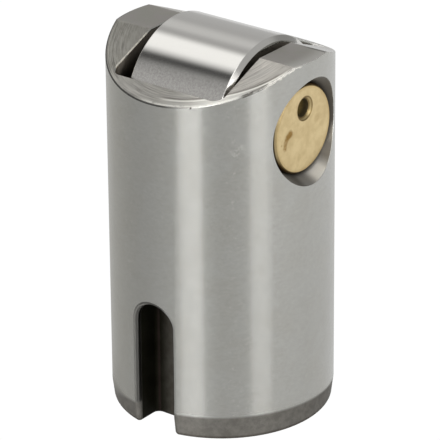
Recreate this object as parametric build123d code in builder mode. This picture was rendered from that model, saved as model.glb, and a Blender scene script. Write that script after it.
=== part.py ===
from build123d import *
from math import cos, hypot, radians, sin
import os

os.makedirs("parts", exist_ok=True)

# Roller tappet. +Z up through the roller, origin on the tappet's axis at its
# lower face. X is the roller's axis, -Y is the side with the guide groove.

# --- barrel
body_r = 15.0            # ground outside radius
top_z = 51.7             # flat strip across the top
flat_half = 3.4          # half width of the flat strip, in Y
slope_tan = 0.404        # both slopes fall away at 22 degrees

# --- lead-in band left as turned, slightly eccentric to the ground diameter
lead_r = 14.68           # radius at the lower face
lead_tan = 0.122         # radius gained per mm of height
lead_x, lead_y = -0.08, 0.08
foot_round = 0.6         # rounding where the band meets the lower face

# --- roller pocket
pocket_hx = 8.8          # half length along the roller's axis
pocket_hy = 11.8         # half width
pocket_corner = 1.4
pocket_floor = 29.8

# --- pin and its bores
pin_z = 41.8
pin_r = 6.0
pin_half = 13.4
pin_bevel = 0.25
ear_bore_r = 6.02        # pin turns freely in the ears
mouth_r = 7.35           # opened-out mouth where it would meet x = body_r
mouth_tan = 0.45
oil_r = 1.25
oil_y, oil_z = 0.35, 2.75
oil_sink_r = 1.65
oil_end_x = -1.4         # blind end of the long oil hole
oil_cross_x = 0.4

# --- roller
roller_r = 11.2
roller_half = 7.85
roller_x = 0.2           # rests a little towards +X in its pocket
roller_bore_r = 6.05     # roller turns freely on the pin
bevel_x, bevel_r = 0.5, 0.65     # flat bevel at each end, along and across the axis
bevel_soft = 0.12        # the bevel's outer edge is just rounded

# --- guide groove, its edges rounded all the way round
groove_x = -0.23         # a little off the centre line
groove_half = 2.92
groove_floor_y = -10.27
groove_top = 18.3
groove_corner = 0.65     # rounding between the floor and the sides
groove_edge = 0.6        # rounded edge at the outside
groove_foot = 0.5        # rounded edge at the lower face

# --- broken edges
edge_break = 0.07        # top slopes and flat, round the outside
pocket_break = 0.15      # pocket mouth

# --- push rod socket in the lower face
socket_r = 6.0
socket_wall = 12.0       # height of the straight wall, then a round end
socket_bevel = 0.6

groove_mid = groove_top - groove_half
reach = 2 * body_r

# ---------------------------------------------------------------- tappet body
with BuildPart() as tappet_body:
    with BuildSketch(Plane.XY):
        Circle(body_r)
    extrude(amount=top_z)

    # two slopes
    fall = slope_tan * (reach - flat_half)
    with BuildSketch(Plane.YZ.offset(-reach)):
        for side in (1, -1):
            with BuildLine():
                Polyline(
                    (side * flat_half, top_z),
                    (side * reach, top_z - fall),
                    (side * reach, top_z + 5),
                    (side * flat_half, top_z + 5),
                    close=True,
                )
            make_face()
    extrude(amount=2 * reach, mode=Mode.SUBTRACT)

    # break the outer edge of the slopes and the flat
    rim = [
        e
        for e in tappet_body.edges()
        if e.center().Z > 40 and abs(hypot(e.position_at(0).X, e.position_at(0).Y) - body_r) < 0.01
        and abs(hypot(e.position_at(1).X, e.position_at(1).Y) - body_r) < 0.01
        and e.geom_type != GeomType.LINE
    ]
    chamfer(rim, length=edge_break)

    # roller pocket, open at the top
    with BuildSketch(Plane.XY.offset(pocket_floor)):
        RectangleRounded(2 * pocket_hx, 2 * pocket_hy, pocket_corner)
    extrude(amount=reach, mode=Mode.SUBTRACT)
    lip = [
        e
        for e in tappet_body.edges()
        if e.center().Z > pin_z
        and abs(e.center().X) < pocket_hx + 0.01
        and abs(e.center().Y) < pocket_hy + 0.01
        and max(abs(e.center().X) - pocket_hx, abs(e.center().Y) - pocket_hy) > -pocket_corner
        and abs(e.tangent_at(0.5).Z) < 0.8
    ]
    chamfer(lip, length=pocket_break)

    # pin bore through both ears
    with BuildSketch(Plane.YZ.offset(-reach)):
        with Locations((0, pin_z)):
            Circle(ear_bore_r)
    extrude(amount=2 * reach, mode=Mode.SUBTRACT)

    # opened-out mouths
    mouth_in = body_r - (mouth_r - ear_bore_r) / mouth_tan
    mouth_out = body_r + 1.0
    for side in (1, -1):
        with BuildSketch(Plane.XZ):
            with BuildLine():
                Polyline(
                    (side * mouth_in, pin_z),
                    (side * mouth_in, pin_z + ear_bore_r),
                    (side * mouth_out, pin_z + mouth_r + mouth_tan),
                    (side * mouth_out, pin_z),
                    close=True,
                )
            make_face()
        revolve(axis=Axis((0, 0, pin_z), (1, 0, 0)), mode=Mode.SUBTRACT)

    # guide groove with a round top and a flat floor
    with BuildSketch(Plane.XZ.offset(-groove_floor_y)):
        with Locations((groove_x, (groove_mid - 2) / 2)):
            Rectangle(2 * groove_half, groove_mid + 2)
        with Locations((groove_x, groove_mid)):
            Circle(groove_half)
    extrude(amount=body_r, mode=Mode.SUBTRACT)
    corners = [
        e
        for e in tappet_body.edges()
        if abs(e.center().Y - groove_floor_y) < 0.01 and e.center().Z > 0.5
    ]
    fillet(corners, radius=groove_corner)

    # its edge at the outside, up one side, over the top and down the other
    outline = [
        e
        for e in tappet_body.edges()
        if e.length > 1
        and max(e.position_at(0).Z, e.position_at(0.5).Z) > 0.1
        and all(
            abs(hypot(e.position_at(t).X, e.position_at(t).Y) - body_r) < 0.01
            and abs(e.position_at(t).X - groove_x) < groove_half + 0.01
            and e.position_at(t).Y < 0
            for t in (0, 0.5, 1)
        )
        and e.center().Z < groove_top + 0.1
    ]
    fillet(outline, radius=groove_edge)

    # lead-in band at the lower end, rounded into the lower face
    q = foot_round
    slant = hypot(1, lead_tan)
    ring = lead_r + lead_tan * q - q * slant
    tx, tz = ring + q / slant, q - q * lead_tan / slant
    with BuildSketch(Plane(origin=(lead_x, lead_y, 0), x_dir=(1, 0, 0), z_dir=(0, -1, 0))):
        with BuildLine():
            Line((tx, tz), (lead_r + lead_tan * 10, 10.0))
            Polyline((lead_r + lead_tan * 10, 10.0), (lead_r + 4, 10.0), (lead_r + 4, -1.0), (ring, -1.0), (ring, 0.0))
            ThreePointArc((ring, 0.0), (ring + q * sin(radians(48)), q - q * cos(radians(48))), (tx, tz))
        make_face()
    revolve(axis=Axis((lead_x, lead_y, 0), (0, 0, 1)), mode=Mode.SUBTRACT)

    # the groove's edge at the lower face
    foot = [
        e
        for e in tappet_body.edges()
        if all(
            abs(e.position_at(t).Z) < 0.001
            and abs(e.position_at(t).X - groove_x) < groove_half + 0.01
            and e.position_at(t).Y < groove_floor_y + 0.01
            for t in (0, 0.5, 1)
        )
    ]
    fillet(foot, radius=groove_foot)

    # push rod socket with a round end and a bevelled mouth
    with BuildSketch(Plane.XZ):
        with BuildLine():
            Polyline(
                (0, socket_wall + socket_r),
                (0, -1),
                (socket_r + socket_bevel + 1, -1),
                (socket_r, socket_bevel),
                (socket_r, socket_wall),
            )
            RadiusArc((socket_r, socket_wall), (0, socket_wall + socket_r), -socket_r)
        make_face()
    revolve(axis=Axis.Z, mode=Mode.SUBTRACT)

# --------------------------------------------------------------------- roller
with BuildPart() as roller:
    with BuildSketch(Plane(origin=(roller_x, 0, pin_z), x_dir=(1, 0, 0), z_dir=(0, -1, 0))):
        with BuildLine():
            Polyline(
                (-roller_half, roller_bore_r + 0.3),
                (-roller_half + 0.3, roller_bore_r),
                (roller_half - 0.3, roller_bore_r),
                (roller_half, roller_bore_r + 0.3),
                (roller_half, roller_r - bevel_r),
                (roller_half - bevel_x, roller_r),
                (bevel_x - roller_half, roller_r),
                (-roller_half, roller_r - bevel_r),
                close=True,
            )
        make_face()
    revolve(axis=Axis((0, 0, pin_z), (1, 0, 0)))
    fillet(
        [e for e in roller.edges().filter_by(GeomType.CIRCLE) if e.radius > roller_r - 0.1],
        radius=bevel_soft,
    )

# ----------------------------------------------------------------- roller pin
with BuildPart() as roller_pin:
    with BuildSketch(Plane.YZ.offset(-pin_half)):
        with Locations((0, pin_z)):
            Circle(pin_r)
    extrude(amount=2 * pin_half)
    chamfer(roller_pin.edges().filter_by(GeomType.CIRCLE), length=pin_bevel)

    # long oil hole from the +X end, above the centre, with a countersunk mouth
    with BuildSketch(Plane.YZ.offset(oil_end_x)):
        with Locations((oil_y, pin_z + oil_z)):
            Circle(oil_r)
    extrude(amount=reach, mode=Mode.SUBTRACT)
    sink = oil_sink_r - oil_r
    with BuildSketch(Plane(origin=(0, oil_y, 0), x_dir=(1, 0, 0), z_dir=(0, -1, 0))):
        with BuildLine():
            Polyline(
                (pin_half - sink, pin_z + oil_z),
                (pin_half - sink, pin_z + oil_z + oil_r),
                (pin_half + sink, pin_z + oil_z + oil_r + 2 * sink),
                (pin_half + sink, pin_z + oil_z),
                close=True,
            )
        make_face()
    revolve(axis=Axis((0, oil_y, pin_z + oil_z), (1, 0, 0)), mode=Mode.SUBTRACT)

    # cross hole up to the roller's bore
    with BuildSketch(Plane.XY.offset(pin_z + oil_z)):
        with Locations((oil_cross_x, oil_y)):
            Circle(oil_r * 0.8)
    extrude(amount=reach, mode=Mode.SUBTRACT)

tappet_body.part.label = "tappet_body"
export_step(tappet_body.part, "parts/tappet_body.step")
roller.part.label = "roller"
export_step(roller.part, "parts/roller.step")
roller_pin.part.label = "roller_pin"
export_step(roller_pin.part, "parts/roller_pin.step")

for name, piece in (("tappet_body", tappet_body), ("roller", roller), ("roller_pin", roller_pin)):
    b = piece.part.bounding_box()
    print(name, "volume", round(piece.part.volume, 1), "solids", len(piece.part.solids()),
          "valid", piece.part.is_valid, b.min, b.max)
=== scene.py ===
import bpy
from math import atan, cos, hypot, pi, radians, sin, tan
from mathutils import Matrix, Vector


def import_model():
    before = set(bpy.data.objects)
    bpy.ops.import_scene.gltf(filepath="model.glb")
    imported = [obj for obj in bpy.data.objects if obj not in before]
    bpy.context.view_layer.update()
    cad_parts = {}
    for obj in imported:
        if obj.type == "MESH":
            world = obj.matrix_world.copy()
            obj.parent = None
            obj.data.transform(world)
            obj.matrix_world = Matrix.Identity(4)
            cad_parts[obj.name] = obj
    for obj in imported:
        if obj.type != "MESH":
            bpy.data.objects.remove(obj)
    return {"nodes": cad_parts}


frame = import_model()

scene = bpy.context.scene
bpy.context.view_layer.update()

# ------------------------------------------------------------------ view
# white has to stay white, as it does in the photograph
scene.view_settings.view_transform = "Standard"
scene.view_settings.look = "None"
scene.view_settings.exposure = 0.0
scene.view_settings.gamma = 1.0

AZ = 0.65454             # camera azimuth, from -Y towards +X
H = Vector((sin(AZ), -cos(AZ), 0.0))        # towards the camera, level
RIGHT = Vector((cos(AZ), sin(AZ), 0.0))     # to the right in the picture


def camera():
    dist, height = 0.4346621, 0.2211674      # metres from the tappet's axis
    yaw, pitch, roll = -0.00054, 0.42329, -0.00867
    fwd = Vector((sin(yaw) * cos(pitch), cos(yaw) * cos(pitch), -sin(pitch)))
    right = Vector((cos(yaw), -sin(yaw), 0.0))
    up = right.cross(fwd)
    r2 = cos(roll) * right + sin(roll) * up
    u2 = -sin(roll) * right + cos(roll) * up
    turn = Matrix.Rotation(AZ, 3, "Z")
    r2, u2, fwd = turn @ r2, turn @ u2, turn @ fwd
    pos = turn @ Vector((0.0, -dist, height))
    data = bpy.data.cameras.new("camera")
    data.sensor_fit = "HORIZONTAL"
    data.sensor_width = 36.0
    data.lens = 3582.77 * 36.0 / 440.0
    data.clip_start, data.clip_end = 0.05, 50.0
    cam = bpy.data.objects.new("camera", data)
    scene.collection.objects.link(cam)
    cam.matrix_world = Matrix((
        (r2.x, u2.x, -fwd.x, pos.x),
        (r2.y, u2.y, -fwd.y, pos.y),
        (r2.z, u2.z, -fwd.z, pos.z),
        (0, 0, 0, 1),
    ))
    scene.camera = cam


# ------------------------------------------------------- node helper
class Graph:
    """A material's node tree, with arithmetic written as arithmetic."""

    def __init__(self, tree):
        self.t = tree
        self.n = tree.nodes
        self.l = tree.links

    def node(self, kind, **props):
        n = self.n.new(kind)
        for k, v in props.items():
            setattr(n, k, v)
        return n

    def put(self, socket, value):
        if isinstance(value, Val):
            self.l.new(value.o, socket)
        elif isinstance(value, bpy.types.NodeSocket):
            self.l.new(value, socket)
        elif value is not None:
            if hasattr(socket.default_value, "__len__") and len(socket.default_value) == 4 and len(value) == 3:
                value = (*value, 1.0)
            socket.default_value = value

    def math(self, op, a, b=None, c=None, clamp=False):
        n = self.node("ShaderNodeMath", operation=op, use_clamp=clamp)
        for i, v in enumerate((a, b, c)):
            if v is not None:
                self.put(n.inputs[i], v)
        return Val(self, n.outputs[0])

    def vec(self, x, y, z):
        n = self.node("ShaderNodeCombineXYZ")
        for i, v in enumerate((x, y, z)):
            self.put(n.inputs[i], v)
        return Val(self, n.outputs[0])

    def xyz(self, v):
        n = self.node("ShaderNodeSeparateXYZ")
        self.put(n.inputs[0], v)
        return [Val(self, o) for o in n.outputs]

    def vmath(self, op, a, b=None, scale=None):
        n = self.node("ShaderNodeVectorMath", operation=op)
        self.put(n.inputs[0], a)
        if b is not None:
            self.put(n.inputs[1], b)
        if scale is not None:
            self.put(n.inputs["Scale"], scale)
        return Val(self, n.outputs["Value"] if op in ("LENGTH", "DOT_PRODUCT", "DISTANCE") else n.outputs["Vector"])

    def step(self, v, lo, hi, a=0.0, b=1.0, kind="SMOOTHSTEP"):
        """Smooth step from a at lo to b at hi (lo < hi)."""
        n = self.node("ShaderNodeMapRange", interpolation_type=kind, clamp=True)
        self.put(n.inputs[0], v)
        for i, x in enumerate((lo, hi, a, b)):
            self.put(n.inputs[i + 1], x)
        return Val(self, n.outputs[0])

    def noise(self, v, scale, detail=2.0, rough=0.5, distortion=0.0, kind="FBM"):
        n = self.node("ShaderNodeTexNoise", noise_dimensions="3D")
        self.put(n.inputs["Vector"], v)
        self.put(n.inputs["Scale"], scale)
        self.put(n.inputs["Detail"], detail)
        self.put(n.inputs["Roughness"], rough)
        self.put(n.inputs["Distortion"], distortion)
        return Val(self, n.outputs[0])

    def mix(self, f, a, b):
        n = self.node("ShaderNodeMix", data_type="RGBA", blend_type="MIX", clamp_factor=True)
        self.put(n.inputs[0], f)
        self.put(n.inputs[6], a)
        self.put(n.inputs[7], b)
        return Val(self, n.outputs[2])

    def tint(self, f, a, b):
        """a times b, by the factor f."""
        n = self.node("ShaderNodeMix", data_type="RGBA", blend_type="MULTIPLY", clamp_factor=True)
        self.put(n.inputs[0], f)
        self.put(n.inputs[6], a)
        self.put(n.inputs[7], b)
        return Val(self, n.outputs[2])

    def lerp(self, f, a, b):
        n = self.node("ShaderNodeMix", data_type="FLOAT", clamp_factor=True)
        self.put(n.inputs[0], f)
        self.put(n.inputs[2], a)
        self.put(n.inputs[3], b)
        return Val(self, n.outputs[0])

    def vlerp(self, f, a, b):
        n = self.node("ShaderNodeMix", data_type="VECTOR", factor_mode="UNIFORM", clamp_factor=True)
        self.put(n.inputs[0], f)
        self.put(n.inputs[4], a)
        self.put(n.inputs[5], b)
        return Val(self, n.outputs[1])


class Val:
    def __init__(self, g, o):
        self.g, self.o = g, o

    def __add__(s, x): return s.g.math("ADD", s, x)
    def __radd__(s, x): return s.g.math("ADD", x, s)
    def __sub__(s, x): return s.g.math("SUBTRACT", s, x)
    def __rsub__(s, x): return s.g.math("SUBTRACT", x, s)
    def __mul__(s, x): return s.g.math("MULTIPLY", s, x)
    def __rmul__(s, x): return s.g.math("MULTIPLY", x, s)
    def __truediv__(s, x): return s.g.math("DIVIDE", s, x)
    def __rtruediv__(s, x): return s.g.math("DIVIDE", x, s)
    def __neg__(s): return s.g.math("MULTIPLY", s, -1.0)
    def __pow__(s, x): return s.g.math("POWER", s, x)
    def max(s, x): return s.g.math("MAXIMUM", s, x)
    def min(s, x): return s.g.math("MINIMUM", s, x)
    def abs(s): return s.g.math("ABSOLUTE", s)
    def sqrt(s): return s.g.math("SQRT", s)
    def clamp(s): return s.g.math("ADD", s, 0.0, clamp=True)
    def inv(s): return s.g.math("SUBTRACT", 1.0, s)


def hyp(a, b):
    return (a * a + b * b).sqrt()


def new_material(name):
    m = bpy.data.materials.new(name)
    m.use_nodes = True
    g = Graph(m.node_tree)
    g.n.clear()
    out = g.node("ShaderNodeOutputMaterial")
    p = g.node("ShaderNodeBsdfPrincipled")
    g.l.new(p.outputs[0], out.inputs["Surface"])
    coords = g.node("ShaderNodeTexCoord").outputs["Object"]
    mm = g.vmath("SCALE", coords, scale=1000.0)      # millimetres in the row frame
    return m, g, p, mm


def bump(g, p, height, distance=0.001, strength=1.0):
    """height is in millimetres."""
    b = g.node("ShaderNodeBump")
    b.inputs["Strength"].default_value = strength
    b.inputs["Distance"].default_value = distance
    g.put(b.inputs["Height"], height)
    g.l.new(b.outputs[0], p.inputs["Normal"])


# ---------------------------------------------------------------- stage
PAPER, FALL = 0.74, 0.15  # the paper's brightness, and its fall from right to left; straight on it is burnt out


def stage():
    m = bpy.data.materials.new("floor_white")
    m.use_nodes = True
    g = Graph(m.node_tree)
    g.n.clear()
    out = g.node("ShaderNodeOutputMaterial")
    e = g.node("ShaderNodeEmission")
    e.inputs["Color"].default_value = (1.0, 1.0, 1.0, 1.0)
    lp = g.node("ShaderNodeLightPath")
    spot = g.node("ShaderNodeTexCoord").outputs["Object"]
    side = g.vmath("DOT_PRODUCT", g.vmath("NORMALIZE", spot), tuple(RIGHT))
    away = g.step(g.vmath("LENGTH", spot), 0.05, 0.13)
    level = PAPER + FALL * (side + away * side.max(0.0))
    g.put(e.inputs["Strength"], g.lerp(Val(g, lp.outputs["Is Camera Ray"]), level, 1.02))
    g.l.new(e.outputs[0], out.inputs["Surface"])
    me = bpy.data.meshes.new("floor")
    s = 12.0
    me.from_pydata([(-s, -s, -2e-5), (s, -s, -2e-5), (s, s, -2e-5), (-s, s, -2e-5)], [], [(0, 1, 2, 3)])
    me.materials.append(m)
    floor = bpy.data.objects.new("floor", me)
    scene.collection.objects.link(floor)


def direction(psi, el):
    """psi is in degrees from the camera's azimuth towards the right, el above the horizon."""
    p, e = radians(psi), radians(el)
    return cos(e) * (cos(p) * H + sin(p) * RIGHT) + Vector((0, 0, sin(e)))


def world():
    """The studio round the tappet: a dim room with tall softboxes at the sides and one overhead.

    psi is the azimuth from the camera's own, positive to the right, and el is the elevation.
    """
    w = bpy.data.worlds.new("studio")
    scene.world = w
    w.use_nodes = True
    g = Graph(w.node_tree)
    g.n.clear()
    out = g.node("ShaderNodeOutputWorld")
    d = g.node("ShaderNodeTexCoord").outputs["Generated"]
    c = g.vmath("DOT_PRODUCT", d, tuple(H))
    s = g.vmath("DOT_PRODUCT", d, tuple(RIGHT))
    z = g.xyz(d)[2]
    psi = g.math("ARCTAN2", s, c) * (180 / pi)
    el = g.math("ARCSINE", z) * (180 / pi)

    def window(v, lo, hi, soft, soft_hi=None):
        t = soft if soft_hi is None else soft_hi
        return g.step(v, lo - soft, lo + soft) * g.step(v, hi - t, hi + t, 1.0, 0.0)

    # low part, mirrored by the barrel
    low = 0.35 + 0.97 * window(psi, -75.0, -8.0, 25.0, 8.0) + 1.0 * window(psi, 35.0, 75.0, 20.0, 20.0)
    low = low + 0.8 * g.step(psi, -160.0, -115.0, 1.0, 0.0) + 0.5 * g.step(psi, 135.0, 165.0)
    low = low + 5.2 * window(psi, -42.4, -18.9, 1.2, 1.0)
    low = low + 3.5 * window(psi, 28.3, 47.6, 1.2, 1.6)
    # middle, mirrored by the roller's bevel and its lower side
    low = g.lerp(g.step(psi, 52.0, 60.0) * g.step(el, 18.0, 26.0), low, 0.55)
    low = g.lerp(window(psi, -92.0, -64.0, 4.0) * g.step(el, 14.0, 22.0), low, 0.55)
    # high part, mirrored by the roller and the slopes
    high = 0.52 + 0.14 * g.step(psi.abs(), 150.0, 175.0) + 0.6 * window(psi, -50.0, 30.0, 10.0)
    high = high + 0.88 * window(psi, -149.0, -110.5, 8.0, 8.5)
    high = high + 1.1 * window(psi, -50.0, 30.0, 10.0) * g.step(el, 48.0, 62.0)
    high = high - 0.50 * window(psi, -104.5, -92.0, 4.0, 4.5)
    back = g.step(psi, -165.0, -140.0, 1.0, 0.0) + g.step(psi, 150.0, 170.0)
    split = g.step(el, 32.0, 42.0)
    split = g.step(split + window(psi, -110.0, -87.0, 3.0) * g.step(el, 24.0, 32.0), 0.0, 1.0)
    level = g.lerp(split, low, high)
    level = g.lerp(back * g.step(el, 38.0, 50.0, 1.0, 0.0), level, 0.56)
    level = level + 0.21 * window(psi, -175.0, -161.0, 5.0) * window(el, 30.0, 46.0, 4.0)
    lit = g.node("ShaderNodeBackground")
    lit.inputs["Color"].default_value = (1, 1, 1, 1)
    g.put(lit.inputs["Strength"], level)
    seen = g.node("ShaderNodeBackground")
    seen.inputs["Color"].default_value = (1, 1, 1, 1)
    seen.inputs["Strength"].default_value = 1.02
    mix = g.node("ShaderNodeMixShader")
    lp = g.node("ShaderNodeLightPath")
    g.l.new(lp.outputs["Is Camera Ray"], mix.inputs[0])
    g.l.new(lit.outputs[0], mix.inputs[1])
    g.l.new(seen.outputs[0], mix.inputs[2])
    g.l.new(mix.outputs[0], out.inputs["Surface"])


# ------------------------------------------------------------ materials
R_BODY, TOP, FLAT, SLOPE = 15.0, 51.7, 3.4, 0.404
PIN_Z, ROLLER_R = 41.8, 11.2
POCKET_X, POCKET_Y, POCKET_C = 8.8, 11.8, 1.4
GROOVE_X, GROOVE_R, GROOVE_Y, GROOVE_MID = -0.23, 2.92, -10.27, 18.3 - 2.92
LEAD_R, LEAD_T, LEAD_X, LEAD_Y = 14.68, 0.122, -0.08, 0.08


def ground_steel():
    m, g, p, mm = new_material("ground_steel")
    x, y, z = g.xyz(mm)
    r = hyp(x, y)
    ay = y.abs()
    turn = g.math("ARCTAN2", x, -y)                 # round the barrel, 0 at -Y
    roof = TOP - (ay - FLAT).max(0.0) * SLOPE       # height of the slopes and the flat
    below = roof - z                                # depth under them
    inset = R_BODY - r                              # depth under the ground diameter

    # where each finish is
    od = g.step(inset, 0.02, 0.04, 1.0, 0.0) * g.step(below, 0.05, 0.07)
    top = g.step(below, 0.01, 0.03, 1.0, 0.0)
    flat = g.step(ay, FLAT - 0.02, FLAT + 0.02, 1.0, 0.0) * top
    slope = top * (1.0 - flat)
    zb = (hyp(x - LEAD_X, y - LEAD_Y) * (R_BODY / r) - LEAD_R) / LEAD_T
    bx, by = x.abs() - POCKET_X, ay - POCKET_Y
    pocket = g.step(bx.max(by), 0.2, 0.22, 1.0, 0.0) * g.step(below, 0.25, 0.3) * g.step(z, 29.0, 29.2) * g.step(r, 14.3, 14.4, 1.0, 0.0)
    lip_glint = g.step(bx.max(by), 0.155, 0.16, 1.0, 0.0) * g.step(below, 0.01, 0.02) * g.step(below, 0.3, 0.4, 1.0, 0.0) * g.step(inset, 1.0, 1.1)
    gx = x - GROOVE_X
    sd = g.lerp(g.step(z, GROOVE_MID - 0.001, GROOVE_MID + 0.001), gx.abs(), hyp(gx, z - GROOVE_MID)) - GROOVE_R
    front = g.step(y, -10.0, -9.9, 1.0, 0.0) * g.step(z, 20.0, 20.1, 1.0, 0.0)
    rolled = front * g.step(sd, 0.40, 0.68, 1.0, 0.0) * g.step(inset, 0.0, 0.02)      # its rounded edge
    groove = front * g.step(sd, 0.03, 0.07, 1.0, 0.0) * g.step(r, 13.94, 14.06, 1.0, 0.0)
    spread = g.step(turn, -0.75, -0.30, 1.5, 0.0) * g.step(turn, -1.35, -1.0)      # the band fades out softly on the left
    low = g.step(z - zb, -0.35 - spread, 0.25 + spread, 1.0, 0.0)
    band = low * g.step(r, 13.2, 13.4) * (1.0 - groove)

    high = g.step(z, 44.0, 44.2)
    # milled arcs on the slopes, about the barrel's axis, and scuffs across them
    arcs = g.noise(g.vec(r * 5.6, turn * 2.4, 0.0), 1.0, 5.0, 0.75)
    hatch = g.noise(g.vec((x + y * 0.8) * 3.4, (x - y) * 0.5, 3.0), 1.0, 3.0, 0.7)
    wide = g.noise(g.vec(r * 0.8, turn * 2.2, 5.0), 1.0, 2.0, 0.5)
    left = g.step(x, -9.5, -7.5, 1.0, 0.0)
    steel = (0.447, 0.447, 0.421)
    cloud = g.noise(mm, 0.45, 3.0, 0.6)
    level = g.mix(g.step(cloud, 0.35, 0.65), (0.455, 0.445, 0.40), (0.475, 0.45, 0.425))
    level = g.mix(g.step(inset, 0.0, 2.6, 0.85, 0.0) * g.step(x, 8.0, 11.0), level, (0.70, 0.69, 0.65))   # painted lighter towards the rim on the right, as painted light standing in for a rounded-over edge
    # on the left ear the arcs only show near the rim, under crossing scuffs
    patch = g.lerp(left, g.step(cloud, 0.30, 0.60, 0.65, 1.0), g.step(inset, 0.8, 3.6, 1.0, 0.25))
    right = g.step(x, 3.0, 7.0)
    sloped = g.mix(g.step(arcs, 0.34, 0.62), (0.27, 0.26, 0.24), (0.565, 0.547, 0.503))
    sloped = g.mix(patch, (0.43, 0.418, 0.388), sloped)
    sloped = g.tint(right, sloped, (1.05, 1.04, 1.04))
    sloped = g.tint(g.step(hatch, 0.42, 0.72) * left, sloped, (0.80, 0.80, 0.79))
    sloped = g.tint(left * 0.9, sloped, (0.81, 0.81, 0.79))
    sloped = g.tint(g.step(wide, 0.4, 0.7) * 0.5, sloped, (0.86, 0.86, 0.84))
    # the far slopes painted light: a painted highlight
    sloped = g.mix(g.step(y, 0.0, 0.1), sloped, (0.66, 0.65, 0.62))
    soft = g.step(ay + 0.8 * (cloud - 0.5), FLAT - 0.15, FLAT + 0.35)
    colour = g.mix(top, steel, g.mix(g.lerp(left, 1.0 - flat, soft), level, sloped))
    # a painted shadow line where the flat meets the far slope, on the right
    colour = g.tint(top * g.step(y, 2.9, 3.3) * g.step(y, 3.7, 4.8, 1.0, 0.0) * g.step(x, 10.0, 13.0), colour, (0.40, 0.395, 0.385))
    ragged = g.noise(mm, 1.3, 3.0, 0.7)
    # a ragged painted highlight along the pocket's near lip
    lip_glint = lip_glint * g.step(x, -1.0, 0.0, 1.0, 0.0) * g.step(y, -FLAT - 1.2, -FLAT - 0.4, 1.0, 0.0) * g.step(ragged, 0.38, 0.52, 0.25, 1.0)
    colour = g.mix(lip_glint, colour, (0.90, 0.86, 0.75))
    # a cutter's line inside the rim, painted as a bright highlight with painted shade along one side and a lighter
    # painted band between it and the rim, that runs out to the rim on the right
    wobble = g.noise(g.vec(turn * 14.0, 0.0, 0.0), 1.0, 3.0, 0.7)
    nearby = slope * high * g.step(y, -0.2, 0.0, 1.0, 0.0)
    off = inset - (1.30 - 0.95 * g.step(turn, 0.50, 1.30)) + 0.10 * (wobble - 0.5)
    along = g.step(turn, 0.02, 0.16) * g.step(turn, 1.15, 1.35, 1.0, 0.0)
    lens_light = nearby * g.step(off, -0.05, 0.05, 1.0, 0.0) * g.step(turn, 0.0, 0.1)
    colour = g.mix(lens_light * g.step(turn, 0.30, 0.60, 0.35, 0.85) * g.step(turn, 0.82, 0.98, 1.0, 0.0), colour, (0.62, 0.61, 0.57))
    colour = g.tint(nearby * along * g.step((off - 0.27).abs(), 0.06, 0.20, 1.0, 0.0), colour, (0.62, 0.61, 0.60))
    cut_glint = nearby * along * g.step((off + 0.04).abs(), 0.06, 0.20, 1.0, 0.0) * g.step(wobble, 0.25, 0.45, 0.55, 1.0)
    # a painted highlight, a bright line just inside the rim
    rim_glint = nearby * g.step(turn, -0.22, 0.05) * g.step(turn, 0.80, 0.95, 1.0, 0.0)
    rim_glint = rim_glint * g.step((inset - g.step(turn, 0.25, 0.5, 0.34, 0.22)).abs(), 0.08, 0.26, 1.0, 0.0) * g.step(ragged, 0.34, 0.50, 0.30, 1.0)
    colour = g.mix((cut_glint + rim_glint).clamp() * 0.9, colour, (0.83, 0.82, 0.76))
    # the rim itself is painted dark on the left, as painted shade under its edge, and broken by dark nicks further
    # right
    rim_shade = high * g.step(inset, 0.15, 0.20, 1.0, 0.0) * g.step(below, 0.09, 0.13, 1.0, 0.0)
    colour = g.mix(rim_shade * g.step(turn, 0.10, 0.34, 1.0, 0.0) * g.step(y, -0.2, 0.0, 1.0, 0.0), colour, (0.105, 0.103, 0.096))
    nick = g.step(hyp((turn - 0.395) * 15.0, below - 0.08), 0.07, 0.17, 1.0, 0.0) * g.step(inset, 0.12, 0.2, 1.0, 0.0)
    streak = g.step(turn, 0.78, 0.86) * g.step(turn, 1.04, 1.10, 1.0, 0.0) * g.step(inset, 0.30, 0.42, 1.0, 0.0) * g.step(below, 0.16, 0.24, 1.0, 0.0)
    colour = g.mix(high * nick.max(streak * g.step(ragged, 0.38, 0.50, 0.35, 0.9)), colour, (0.13, 0.125, 0.11))
    # the burr turned over the rim on the right, painted as a bright highlight
    burr_glint = high * g.step(turn, 0.98, 1.10) * g.step(turn, 1.38, 1.44, 1.0, 0.0) * g.step(r, 14.0, 14.1) * g.step(below.max(inset) - 0.95 * (ragged - 0.38), 0.04, 0.18, 1.0, 0.0)
    colour = g.mix(burr_glint * 0.9, colour, (0.84, 0.82, 0.755))
    # the rounded edge of the groove, painted shade: darker outside and lighter inside
    edge_shade = g.mix(g.step(sd, 0.16, 0.40), (0.150, 0.147, 0.138), (0.165, 0.162, 0.152))
    colour = g.mix(rolled * g.step(gx, 1.5, 2.5, 1.0, 0.0), colour, edge_shade)
    foot = g.step(z, 0.35, 0.75, 1.0, 0.0)
    cast = g.noise(mm, 0.9, 5.0, 0.72)
    banded = g.mix(g.step(cast, 0.34, 0.66), (0.128, 0.122, 0.110), (0.172, 0.164, 0.149))
    colour = g.mix(band, colour, g.tint(foot, banded, (0.55, 0.53, 0.50)))
    # the groove's inside painted nearly black: painted shade, blackest on its left wall, lighter across the floor to
    # the right and with a dark line in the corner, over old dark scale with random mottling
    on_floor = g.step(y, GROOVE_Y - 0.3, GROOVE_Y - 0.1)
    grime = g.noise(mm, 0.35, 4.0, 0.65)
    dark = g.mix(g.step(gx, -2.5, 0.3) * on_floor, (0.011, 0.0105, 0.0070), (0.085, 0.080, 0.070))
    dark = g.mix(g.step((gx + 2.55).abs(), 0.05, 0.28, 1.0, 0.0) * on_floor, dark, (0.014, 0.0085, 0.0065))
    dark = g.tint(g.step(grime, 0.35, 0.65), dark, (0.65, 0.62, 0.58))
    colour = g.mix(groove, colour, dark)
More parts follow.
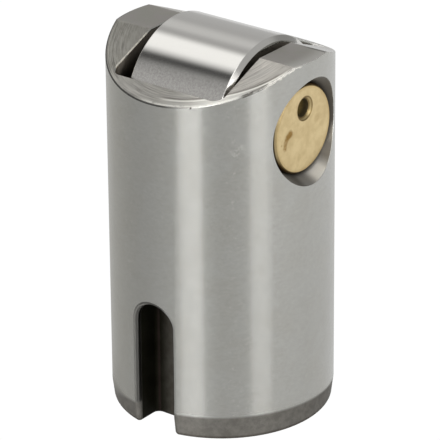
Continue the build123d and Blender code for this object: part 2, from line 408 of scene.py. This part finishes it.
    # the pocket's walls painted darker with depth: painted shade
    pocket_shade = g.mix(g.step(below, 0.4, 3.0), (0.34, 0.31, 0.27), (0.07, 0.063, 0.055))
    colour = g.mix(pocket, colour, pocket_shade)
    # the far corner of its mouth is painted light, as painted light on the pocket's far wall, with a painted
    # highlight on the edge behind it
    lit_corner = high * g.step(y, 8.6, 9.2) * g.step(x, 5.9, 6.5) * g.step(below, 0.02, 0.04) * g.step(below, 1.6, 2.6, 1.0, 0.0) * g.step(r, 14.3, 14.4, 1.0, 0.0)
    behind_glint = top * g.step(y, 11.6, 11.8) * 0.8
    lit_corner = lit_corner.max(behind_glint)
    colour = g.mix(lit_corner, colour, g.mix(behind_glint, (0.86, 0.85, 0.82), (0.46, 0.455, 0.44)))
    # and the edge at the end of the flat is painted a lighter, dull grey
    edge = high * g.step(inset, 0.08, 0.10, 1.0, 0.0) * (1.0 - od) * (1.0 - top) * g.step(turn, 0.95, 1.05)
    colour = g.mix(edge, colour, (0.44, 0.43, 0.41))

    # the opened-out mouths, turned, with painted shade round the pin and over parts of the cone, partly old oil
    dz = z - PIN_Z
    rr = hyp(y, dz)
    mouth = g.step(x.abs(), 11.5, 11.6) * g.step(inset, 0.03, 0.06) * g.step(rr, 7.7, 7.8, 1.0, 0.0)
    clock = g.math("ARCTAN2", y, -dz)                # round the pin, 0 at the foot of the mouth, positive towards +Y
    oil_and_shade = g.step(rr, 6.1, 6.7, 1.0, 0.0).max(g.step(clock, 0.44, 0.74) * 0.76).max(g.step(clock, -0.30, 0.02, 0.64, 0.0)).max(g.step(clock, -0.05, 0.22, 0.30, 0.0))
    oil_and_shade = oil_and_shade.max(g.step(dz, 0.0, 2.0) * 0.66)
    # a lighter, dull patch in the mouth: a painted reflection
    reflection_patch = g.step(clock, 0.00, 0.26) * g.step(clock, 0.42, 0.68, 1.0, 0.0) * g.step(rr, 6.3, 6.7)
    colour = g.mix(mouth, colour, g.mix(reflection_patch * g.step(ragged, 0.30, 0.62, 0.70, 1.0), (0.53, 0.52, 0.49), (0.58, 0.56, 0.51)))
    colour = g.tint(mouth * oil_and_shade, colour, (0.14, 0.112, 0.070))

    # darker towards the foot on the left, and a little lighter across the left side
    colour = g.tint(od * g.step(turn, -0.70, -0.35, 1.0, 0.0) * g.step(turn, -2.2, -1.6) * g.step(z, 3.0, 10.0, 1.0, 0.0) * (1.0 - band), colour, (0.82, 0.81, 0.79))
    colour = g.tint(od * g.step(turn, -0.6, 0.0, 1.0, 0.0) * g.step(turn, -2.6, -1.2), colour, (1.055, 1.04, 0.995))
    # blotches that are only just there
    blot = g.noise(mm, 0.22, 4.0, 0.6)
    colour = g.tint(g.step(blot, 0.35, 0.7) * 0.5, colour, (0.94, 0.925, 0.90))
    grain = g.noise(g.vec(x * 1.2, y * 1.2, z * 2.6), 1.0, 4.0, 0.75)
    fine = g.noise(g.vec(x * 3.2, y * 3.2, z * 6.0), 1.0, 3.0, 0.7)
    colour = g.tint(od * g.step(grain, 0.34, 0.66), colour, (0.950, 0.950, 0.950))
    colour = g.tint(od * g.step(fine, 0.36, 0.64), colour, (0.978, 0.976, 0.973))
    # light specks, thickest in two streaks down the barrel, and a small scuff
    speck = g.noise(mm, 1.5, 4.0, 0.85)
    streaks = g.step((turn - 0.76).abs(), 0.03, 0.16, 1.0, 0.0).max(g.step((turn + 0.36).abs(), 0.05, 0.22, 1.0, 0.0) * g.step(z, 16.0, 22.0)).max(0.30)
    colour = g.mix(od * g.step(speck, 0.58, 0.68) * streaks * 0.30, colour, (0.72, 0.70, 0.66))
    scuff = g.step(hyp((turn - 0.80) * 13.0, z - 41.8), 0.2, 1.4, 1.0, 0.0) * g.step(speck, 0.44, 0.60)
    colour = g.mix(od * scuff * 0.24, colour, (0.72, 0.71, 0.67))

    rough = 0.26 + 0.04 * (g.noise(mm, 0.5, 3.0, 0.55) - 0.5)
    rough = g.lerp(top, rough, 0.40)
    rough = g.lerp(rolled * g.step(gx, 1.5, 2.5, 1.0, 0.0), rough, 0.62)
    rough = g.lerp(band, rough, 0.66 + 0.12 * (cast - 0.5))
    rough = g.lerp(groove, rough, 0.6)
    rough = g.lerp(pocket, rough, 0.5)
    rough = g.lerp(mouth, rough, 0.42)

    # along the barrel the grinding marks run round it, so gloss spreads up and down
    tangent = g.vlerp(top, (0.0, 0.0, 1.0), g.vec(x, y * 1.2, ay * -0.3))
    tangent = g.vlerp(mouth, tangent, g.vec(x * 0.2, y, dz))
    g.put(p.inputs["Tangent"], g.vmath("NORMALIZE", tangent))

    lines = g.noise(g.vec(x * 0.12, y * 0.12, z * 14.0), 1.0, 3.0, 0.6)
    h = slope * (arcs - 0.5) * g.step(y, 0.0, 0.1, 0.03, 0.008) + od * (lines - 0.5) * 0.0006 + band * (cast - 0.5) * 0.02
    bump(g, p, h)

    # old scale in the groove and on the band, and the painted-reflection patch in the mouth, are not bare metal
    g.put(p.inputs["Metallic"], (1.0 - groove * 0.9 - band * 0.6 - mouth * reflection_patch * 0.7 - lit_corner - edge * 0.8).clamp())
    p.inputs["Anisotropic"].default_value = 0.98
    p.inputs["Specular IOR Level"].default_value = 0.08
    g.put(p.inputs["Base Color"], colour)
    g.put(p.inputs["Roughness"], rough)
    return m


def polished_steel():
    m, g, p, mm = new_material("polished_steel")
    x, y, z = g.xyz(mm)
    dz = z - PIN_Z
    rr = hyp(y, dz)
    fine = g.noise(g.vec(x * 5.0, g.math("ARCTAN2", y, dz) * 3.0, 0.0), 1.0, 3.0, 0.6)
    mott = g.noise(mm, 3.6, 4.0, 0.7)
    under = g.step(g.math("ARCTAN2", -y, dz), 0.70, 0.95)      # the side that has lain against the near slope
    colour = g.tint(g.step(mott, 0.35, 0.65) * g.lerp(under, 0.12, 1.0), (0.622, 0.610, 0.580), (0.84, 0.83, 0.83))
    rough = 0.13 + under * (0.12 * (mott - 0.5) + 0.05) + 0.02 * (fine - 0.5)
    bump(g, p, (mott - 0.5) * 0.002 * under + (fine - 0.5) * 0.0008)
    g.put(p.inputs["Tangent"], (g.vec(1.0, 0.0, 0.0)))
    p.inputs["Metallic"].default_value = 1.0
    p.inputs["Anisotropic"].default_value = 0.6
    g.put(p.inputs["Base Color"], colour)
    g.put(p.inputs["Roughness"], rough)
    return m


def bearing_bronze():
    m, g, p, mm = new_material("bearing_bronze")
    x, y, z = g.xyz(mm)
    dz = z - PIN_Z
    rr = hyp(y, dz)
    blot = g.noise(mm, 0.7, 4.0, 0.6)
    colour = g.mix(g.step(blot, 0.3, 0.75), (0.665, 0.535, 0.298), (0.560, 0.434, 0.230))
    # rim and bevel painted darker, as painted shade in place of a glint; the sides and the hole painted dark, as
    # painted shade, partly old oil
    colour = g.tint(g.step(rr, 5.2, 5.9) * 0.6, colour, (0.70, 0.62, 0.45))
    side = g.step(x.abs(), 13.22, 13.36, 1.0, 0.0)
    colour = g.tint(side * g.step(rr, 5.7, 5.75), colour, g.mix(g.step(y, -5.2, -4.2, 1.0, 0.0) * g.step(dz, -4.2, -2.2), (0.26, 0.19, 0.10), (0.74, 0.76, 0.82)))
    colour = g.tint(g.step(rr, 5.74, 5.80) * (1.0 - side), colour, (0.80, 0.82, 0.90))
    hole = hyp(y - 0.35, dz - 2.75)
    hole_shade_and_oil = g.step(hole, 1.24, 1.28, 1.0, 0.0) * g.step(x, 13.10, 13.20, 1.0, 0.0) * g.step(x, -1.6, -1.5)      # painted shade, darker with depth, partly old oil
    sunk = g.step(hole, 1.24, 1.28) * g.step(hole, 1.66, 1.76, 1.0, 0.0) * g.step((hole - 1.47).abs(), 0.02, 0.16, 0.45, 1.0) * g.step(x, 0.0, 1.0)
    colour = g.tint(sunk, colour, (0.38, 0.345, 0.26))
    colour = g.mix(hole_shade_and_oil, colour, g.mix(g.step(x, 11.5, 12.5), (0.40, 0.30, 0.10), (0.035, 0.026, 0.010)))
    # stains, with their places given from the pin's centre
    wob = g.noise(mm, 1.6, 3.0, 0.6) - 0.5
    sy, sz = y + 2.85 + 1.2 * wob, dz - 0.22           # upper end of the brown mark
    along = ((sy * 1.15 + sz * 1.65) / (1.15 ** 2 + 1.65 ** 2) + 1.0).clamp()
    bow = 0.95 * along * (1.0 - along)                 # it is bowed to the left, like a hook
    gap = hyp(y + 4.00 - 1.15 * along + bow + 0.5 * wob, dz + 1.43 - 1.65 * along - bow + 0.4 * wob)
    gap = gap - g.step(along, 0.50, 0.85, 0.17, 0.32)  # and widest at its upper end
    mark = g.step(gap, -0.05, 0.46, 1.0, 0.0) * g.step(wob, -0.22, 0.05, 0.55, 1.0)
    halo = g.step(hyp(y + 2.75, dz + 0.55), 0.2, 1.3, 1.0, 0.0) * 0.22
    dot = g.step(hyp(y + 4.75, dz + 0.78), 0.05, 0.2, 1.0, 0.0) * 0.6
    faint = g.step(hyp(y - 2.95, dz - 0.55), 0.2, 0.9, 1.0, 0.0) * 0.30
    ring = g.step((hyp(y + 0.4, dz + 0.2) - 3.4).abs(), 0.1, 1.2, 1.0, 0.0) * g.step(wob, -0.1, 0.3) * 0.10
    stains = (mark * 0.95 + dot + halo + faint + ring).clamp() * g.step(x, 13.2, 13.3)
    colour = g.tint(stains, colour, (0.44, 0.32, 0.14))
    rough = 0.42 + 0.1 * (blot - 0.5)
    turn = g.noise(g.vec(rr * 5.0, g.math("ARCTAN2", y, dz) * 0.6, 0.0), 1.0, 2.0, 0.5)
    bump(g, p, (turn - 0.5) * 0.004 + (blot - 0.5) * 0.006)
    g.put(p.inputs["Metallic"], 1.0 - hole_shade_and_oil * 0.85)
    p.inputs["Anisotropic"].default_value = 0.0
    g.put(p.inputs["Base Color"], colour)
    g.put(p.inputs["Roughness"], rough)
    return m


def dress(name, material):
    o = frame["nodes"][name]
    for s in o.material_slots:
        s.material = material


camera()
stage()
world()

dress("tappet_body", ground_steel())
dress("roller", polished_steel())
dress("roller_pin", bearing_bronze())
